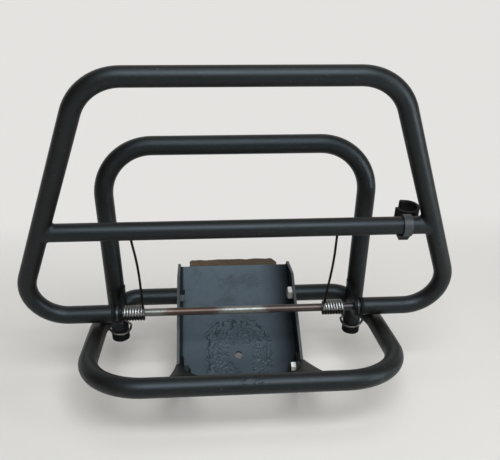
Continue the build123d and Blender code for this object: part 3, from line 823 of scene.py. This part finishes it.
BOLT_R = 0.004
HEAD_FLATS = 0.013
HEAD_HIGH = 0.0053
HEAD_FACE = 0.0061
HEAD_RIM = 0.0012
HEAD_DISH_IN = 0.0018
HEAD_DISH = 0.0004
BUNG_FLANGE = 0.0015
BOLT_GRIP = 0.020
BOLT_POINT = 0.0007
SHANK = SHEET + BUNG_FLANGE + BOLT_GRIP
NUT_FLATS = 0.010
NUT_HIGH = 0.005
NUT_HOLE = 0.0033
NUT_FACE_R = 0.0047
NUT_EDGE = 0.0004
STUD_R = 0.003
STUD_TAIL = 0.002
STUD_POINT = 0.0006
STUD_LONG = PLATE_HALF - NUT_FACE + NUT_HIGH + STUD_TAIL
STUD_HEAD_R = 0.006
STUD_HEAD_HIGH = 0.0014
STUD_DOME = ((0.55, 1.0), (0.85, 0.8), (1.0, 0.3), (1.0, 0.0))  # shares of the head's radius and height
THREAD = 0.0010
THREAD_DEEP = 0.00035
THREAD_PAST_NUT = 0.0016

for side, word, head_finish, nut_finish in (
    (-1, "left", bolt_banded, black),
    (1, "right", head_zinc, nut_zinc),
):
    inward = Vector((-side, 0.0, 0.0))

    bm = bmesh.new()
    lathe(bm, Vector((side * FLANGE_IN, REAR.y, REAR.z)), inward, PLATE_DIR, (
        round_ring(BOLT_R - BOLT_POINT, -SHANK),
        round_ring(BOLT_R, BOLT_POINT - SHANK),
        round_ring(BOLT_R, 0.0),
        hex_ring(HEAD_FLATS, 0.0),
        hex_ring(HEAD_FLATS, HEAD_HIGH, HEAD_FACE),
        round_ring(HEAD_FACE, HEAD_HIGH),
        round_ring(HEAD_FACE - HEAD_RIM, HEAD_HIGH),
        round_ring(HEAD_FACE - HEAD_DISH_IN, HEAD_HIGH - HEAD_DISH),
    ))
    piece = make_piece("rear_bolt_" + word, bm, head_finish, "frame", HEX_CREASE)
    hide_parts("rear_bolts")

    bm = bmesh.new()
    lathe(bm, Vector((side * NUT_FACE, FRONT_BOLT.y, FRONT_BOLT.z)), inward, PLATE_DIR, (
        round_ring(NUT_HOLE, 0.0),
        hex_ring(NUT_FLATS, 0.0),
        hex_ring(NUT_FLATS, NUT_HIGH, NUT_FACE_R),
        round_ring(NUT_FACE_R, NUT_HIGH),
        round_ring(NUT_HOLE + NUT_EDGE, NUT_HIGH),
        round_ring(NUT_HOLE, NUT_HIGH - NUT_EDGE),
    ), closed=True)
    piece = make_piece("front_nut_" + word, bm, nut_finish, "frame", HEX_CREASE)
    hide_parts("front_nuts")

    thread = []
    turns = int((NUT_HIGH + THREAD_PAST_NUT) / THREAD)
    for i in range(2 * turns):
        depth = STUD_LONG - STUD_POINT - (turns - i / 2) * THREAD
        thread.append(round_ring(STUD_R - THREAD_DEEP * (i % 2), depth))
    bm = bmesh.new()
    lathe(bm, Vector((side * PLATE_HALF, FRONT_BOLT.y, FRONT_BOLT.z)), inward, PLATE_DIR, [
        *(round_ring(STUD_HEAD_R * wide, -STUD_HEAD_HIGH * high) for wide, high in STUD_DOME),
        round_ring(STUD_R, 0.0),
        *thread,
        round_ring(STUD_R, STUD_LONG - STUD_POINT),
        round_ring(STUD_R - STUD_POINT, STUD_LONG),
    ])
    piece = make_piece("front_stud_" + word, bm, black, "frame", STUD_CREASE)
    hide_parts("front_bolts")


# fibre pad with a torn rear edge
PAD_PLIES = 5
PAD_STEP = 0.0012
PAD_WAVE = 0.0022
PAD_FRAY = 0.0008
PAD_SINK = 0.0006
PAD_CUT_BACK = 0.002
PAD_CUT_IN = 0.003
PAD_WAVE_RATE = 75.0
PAD_FRAY_RATE = 420.0
PAD_SINK_RATE = 130.0
PAD_WAVE_SEED = 1.3
PAD_FRAY_SEED = 4.7
PAD_SINK_SEED = 9.1
PAD_CREASE = 35


def half_noise(spot, rate, seed):
    """Smooth noise of a flat place, from 0 to 1."""
    return 0.5 + 0.5 * noise.noise(Vector((spot.x * rate, spot.y * rate, seed)))


def pad_outline(layer):
    """Outline of one ply, its rear and side edges frayed inward by up to three millimetres."""
    rear = PLATE_LENGTH + PAD_OVER
    front = rear - PAD_DEEP
    corners = [
        Vector((-PAD_HALF, front, 0.0)),
        Vector((-PAD_HALF, rear - PAD_CUT_BACK, 0.0)),
        Vector((-PAD_HALF + PAD_CUT_IN, rear, 0.0)),
        Vector((PAD_HALF - PAD_CHAMFER, rear, 0.0)),
        Vector((PAD_HALF, rear - PAD_CHAMFER, 0.0)),
        Vector((PAD_HALF, front, 0.0)),
    ]
    points = []
    for start, end in zip(corners, corners[1:]):
        steps = max(int((end - start).length / PAD_STEP), 1)
        inside = Vector((start.y - end.y, end.x - start.x, 0.0)).normalized() * -1
        for i in range(steps):
            spot = start.lerp(end, i / steps)
            wave = half_noise(spot, PAD_WAVE_RATE, PAD_WAVE_SEED)
            fray = half_noise(spot, PAD_FRAY_RATE, PAD_FRAY_SEED + layer)
            points.append(spot + inside * (PAD_WAVE * wave + PAD_FRAY * fray))
    points.append(corners[-1])
    return points


def make_pad():
    """Stack of frayed plies under the plate, joined into one closed piece."""
    bm = bmesh.new()
    loops = []
    for layer in range(PAD_PLIES + 1):
        low = SHEET + PAD_THICK * layer / PAD_PLIES
        loop = []
        for spot in pad_outline(layer):
            sink = 0.0 if layer else PAD_SINK * half_noise(spot, PAD_SINK_RATE, PAD_SINK_SEED)
            place = PLATE_FRONT + PLATE_DIR * spot.y - PLATE_UP * (low + sink)
            loop.append(bm.verts.new(place + Vector((spot.x, 0.0, 0.0))))
        loops.append(loop)
    count = len(loops[0])
    for upper, lower in zip(loops, loops[1:]):
        for k in range(count):
            after = (k + 1) % count
            bm.faces.new((upper[k], upper[after], lower[after], lower[k]))
    bm.faces.new(loops[0])
    bm.faces.new(loops[-1][::-1])
    piece = make_piece("torn_pad", bm, pad_fibre, "frame", PAD_CREASE)
    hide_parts("plate_pad")


make_pad()


# wrinkled paint
CELL = 0.0005
FILM_SUNK = 0.00006
FILM_DEEP = 0.0006
RIDGE_WIDE = 0.30
WARP = 0.9
WARP_RATE = 0.5
WARP_SHIFTS = (Vector((7.3, 1.9, 4.1)), Vector((2.7, 8.6, 5.2)), Vector((9.4, 3.8, 6.5)))


def ease(value, low, high):
    """Smooth step from 0 at low to 1 at high."""
    t = min(max((value - low) / (high - low), 0.0), 1.0)
    return t * t * (3 - 2 * t)


def wrinkle(spot):
    """Winding ridges, from 0 to 1."""
    slow = spot * WARP_RATE
    warp = Vector([noise.noise(slow + shift) for shift in WARP_SHIFTS]) * WARP
    ridge = noise.noise(spot + warp)
    return ease(1.0 - abs(ridge) / RIDGE_WIDE, 0.0, 1.0)


def film(name, columns, rows, top, under, kept, material):
    """Closed thin sheet over a grid, without the cells that kept refuses."""
    bm = bmesh.new()
    cells = [(i, j) for i in range(columns) for j in range(rows) if kept(i, j)]
    known = set(cells)
    high = {}
    low = {}
    for i, j in cells:
        for c in ((i, j), (i + 1, j), (i + 1, j + 1), (i, j + 1)):
            if c not in high:
                high[c] = bm.verts.new(top(*c))
                low[c] = bm.verts.new(under(*c))
    for i, j in cells:
        a, b, c, d = (i, j), (i + 1, j), (i + 1, j + 1), (i, j + 1)
        bm.faces.new((high[a], high[b], high[c], high[d]))
        bm.faces.new((low[d], low[c], low[b], low[a]))
        borders = (((i, j - 1), a, b), ((i + 1, j), b, c), ((i, j + 1), c, d), ((i - 1, j), d, a))
        for beside, start, end in borders:
            if beside not in known:
                bm.faces.new((high[end], high[start], low[start], low[end]))
    return make_piece(name, bm, material, "frame")


FILM_LEFT = -0.042
FILM_WIDE = 0.084
FILM_FRONT = 0.006
FILM_LONG = 0.080
FILM_EDGE = 0.016
FILM_HOLE = 0.0056
PLATE_RIDGE = 0.0006
PATCH_RATE = 55.0
PATCH_SEED = 7.7
PATCH_LOOSE = 0.010
PATCH_INNER = (0.009, 0.015)
PATCH_OUTER = (0.039, 0.052)
PATCH_BARE = (-0.85, -0.30)
ARC_RATE = 6.0
RADIAL_RATE = 300.0
ARC_SEED = 12.7


def film_spot(i, j):
    """Place on the plate: across, and along from its front edge."""
    return FILM_LEFT + i * CELL, FILM_FRONT + j * CELL


def film_height(x, s):
    """Height of the paint over the plate: ridges in arcs round the hole, in a ragged ring."""
    away = math.hypot(x, s - HOLE_REACH)
    border = min(x - FILM_LEFT, FILM_LEFT + FILM_WIDE - x, s - FILM_FRONT, FILM_FRONT + FILM_LONG - s)
    patch = noise.noise(Vector((x * PATCH_RATE, s * PATCH_RATE, PATCH_SEED)))
    loose = away + PATCH_LOOSE * patch
    ring = ease(loose, *PATCH_INNER) * (1.0 - ease(loose, *PATCH_OUTER))
    mask = ring * ease(border, 0.0, FILM_EDGE) * ease(patch, *PATCH_BARE)
    turn = math.atan2(s - HOLE_REACH, x)
    arcs = Vector((math.cos(turn) * ARC_RATE, math.sin(turn) * ARC_RATE, away * RADIAL_RATE + ARC_SEED))
    return PLATE_RIDGE * mask * wrinkle(arcs) - FILM_SUNK


def film_top(i, j):
    x, s = film_spot(i, j)
    return PLATE_FRONT + PLATE_DIR * s + PLATE_UP * film_height(x, s) + Vector((x, 0.0, 0.0))


def film_under(i, j):
    x, s = film_spot(i, j)
    return PLATE_FRONT + PLATE_DIR * s - PLATE_UP * FILM_DEEP + Vector((x, 0.0, 0.0))


def film_kept(i, j):
    x, s = film_spot(i + 0.5, j + 0.5)
    return math.hypot(x, s - HOLE_REACH) > FILM_HOLE


film("plate_wrinkles", int(FILM_WIDE / CELL), int(FILM_LONG / CELL), film_top, film_under, film_kept,
     plate_ridged)

BAR_LEFT = -0.012
BAR_WIDE = 0.032
BAR_EDGE = 0.008
BAR_FADE = 0.25
BAR_RIDGE = 0.0004
BAR_LOW = math.radians(158)
BAR_TURN = math.radians(62)
BAR_ROWS = int(BAR_TURN * RING_R / CELL)
BAR_RATES = (300.0, 250.0)
BAR_SEED = 5.9


def bar_place(i, j, radius):
    """Place on the front bar: along it, and up round its front."""
    a = BAR_LOW - BAR_TURN * j / BAR_ROWS
    out = Vector((0.0, math.cos(a), math.sin(a))) * radius
    return Vector((BAR_LEFT + i * CELL, FRONT_Y, RING_Z)) + out


def bar_top(i, j):
    x = BAR_LEFT + i * CELL
    border = min(x - BAR_LEFT, BAR_LEFT + BAR_WIDE - x) / BAR_EDGE
    edge = ease(border, 0.0, 1.0) * ease(min(j, BAR_ROWS - j) / BAR_ROWS, 0.0, BAR_FADE)
    ridge = wrinkle(Vector((x * BAR_RATES[0], j * CELL * BAR_RATES[1], BAR_SEED)))
    return bar_place(i, j, RING_R - FILM_SUNK + BAR_RIDGE * edge * ridge)


def bar_under(i, j):
    return bar_place(i, j, RING_R - FILM_DEEP)


def bar_kept(i, j):
    return True


film("bar_wrinkles", int(BAR_WIDE / CELL), BAR_ROWS, bar_top, bar_under, bar_kept, black)


# stage, light and camera
FLOOR_Z = cad_box[0][2]
STAGE_HALF = 3.0
COVE_START = 0.9
COVE_R = 0.5
COVE_STEPS = 12
WALL_TOP = 4.0
PAPER_NEAR = (0.400, 0.383, 0.361)
PAPER_FAR = (0.690, 0.664, 0.630)
PAPER_CLOUD = (0.85, 0.82, 0.78)
PAPER_GLOW = (0.775, 0.768, 0.750)
PAPER_FADE_Y = (-0.90, 0.12)
GLOW_FADE_Y = (0.0, 0.60)


def backdrop():
    """Pale paper: floor, cove and wall in one sweep."""
    bm = bmesh.new()
    profile = [(-STAGE_HALF, 0.0), (COVE_START, 0.0)]
    for i in range(1, COVE_STEPS + 1):
        a = math.radians(90 * i / COVE_STEPS)
        profile.append((COVE_START + COVE_R * math.sin(a), COVE_R - COVE_R * math.cos(a)))
    profile.append((COVE_START + COVE_R, WALL_TOP))
    left = [bm.verts.new((-STAGE_HALF, y, FLOOR_Z + z)) for y, z in profile]
    right = [bm.verts.new((STAGE_HALF, y, FLOOR_Z + z)) for y, z in profile]
    for i in range(len(profile) - 1):
        bm.faces.new((left[i], right[i], right[i + 1], left[i + 1]))
    mesh = bpy.data.meshes.new("backdrop")
    bm.to_mesh(mesh)
    bm.free()
    piece = bpy.data.objects.new("backdrop", mesh)
    bpy.context.scene.collection.objects.link(piece)
    mesh.polygons.foreach_set("use_smooth", [True] * len(mesh.polygons))
    g = Graph("backdrop_paper")
    cloud = g.noise(1.2, 2.0, 0.5)
    away = g.span(g.axis("Y"), *PAPER_FADE_Y, 0.0, 1.0)
    colour = g.mix(away, PAPER_NEAR, PAPER_FAR)
    colour = g.mix(g.span(cloud, 0.3, 0.7, 0.0, 0.08), colour, PAPER_CLOUD)
    paper = g.finish(colour, g.span(cloud, 0.3, 0.7, 0.85, 0.95))
    g.glow(PAPER_GLOW, g.span(g.axis("Y"), *GLOW_FADE_Y, 0.0, 1.0))
    mesh.materials.append(paper)


backdrop()


COOL_LIGHT = (0.95, 0.98, 1.0)
WARM_LIGHT = (1.0, 0.98, 0.96)
WORLD_COLOUR = (0.93, 0.96, 1.0, 1.0)
WORLD_STRENGTH = 0.08
LENS = 46.8
SENSOR = 36.0
YAW = math.radians(4.3)
PITCH = math.radians(17.0)
CAMERA_FROM_ROD = Vector((-0.0350, -0.6146, 0.2739))


def softbox(name, place, aim, size, power, colour, spread=180.0):
    """Soft rectangular lamp: size in metres, power in watts, spread of its beam in degrees."""
    lamp = bpy.data.lights.new(name, "AREA")
    lamp.shape = "RECTANGLE"
    lamp.size = size[0]
    lamp.size_y = size[1]
    lamp.energy = power
    lamp.color = colour
    lamp.spread = math.radians(spread)
    thing = bpy.data.objects.new(name, lamp)
    thing.location = place
    thing.rotation_euler = (Vector(aim) - Vector(place)).to_track_quat("-Z", "Y").to_euler()
    bpy.context.scene.collection.objects.link(thing)


softbox("light_front_top", (0.12, -1.30, 1.35), (0.0, 0.0, 0.1), (1.3, 1.0), 40.0, COOL_LIGHT)
softbox("light_over", (0.05, -0.35, 1.75), (0.0, -0.05, 0.15), (1.2, 0.7), 4.5, COOL_LIGHT)
softbox("light_right", (1.4, -1.0, 0.7), (0.0, 0.0, 0.12), (0.35, 1.0), 10.0, COOL_LIGHT)
softbox("light_low", (0.66, -0.42, 0.10), (0.16, -0.05, 0.20), (0.16, 0.22), 0.18, COOL_LIGHT, 50.0)
softbox("light_left", (-0.7, -1.7, 0.45), (0.0, 0.0, 0.15), (0.5, 1.0), 1.2, WARM_LIGHT)

world = bpy.data.worlds.new("studio")
bpy.context.scene.world = world
world.use_nodes = True
background = world.node_tree.nodes["Background"]
background.inputs["Color"].default_value = WORLD_COLOUR
background.inputs["Strength"].default_value = WORLD_STRENGTH

camera_data = bpy.data.cameras.new("camera")
camera_data.lens = LENS
camera_data.sensor_width = SENSOR
camera = bpy.data.objects.new("camera", camera_data)
ahead = Vector((math.sin(YAW) * math.cos(PITCH), math.cos(YAW) * math.cos(PITCH), -math.sin(PITCH)))
camera.location = ROD + CAMERA_FROM_ROD
camera.rotation_euler = ahead.to_track_quat("-Z", "Y").to_euler()
bpy.context.scene.collection.objects.link(camera)
bpy.context.scene.camera = camera

bpy.context.scene.view_settings.view_transform = "Standard"
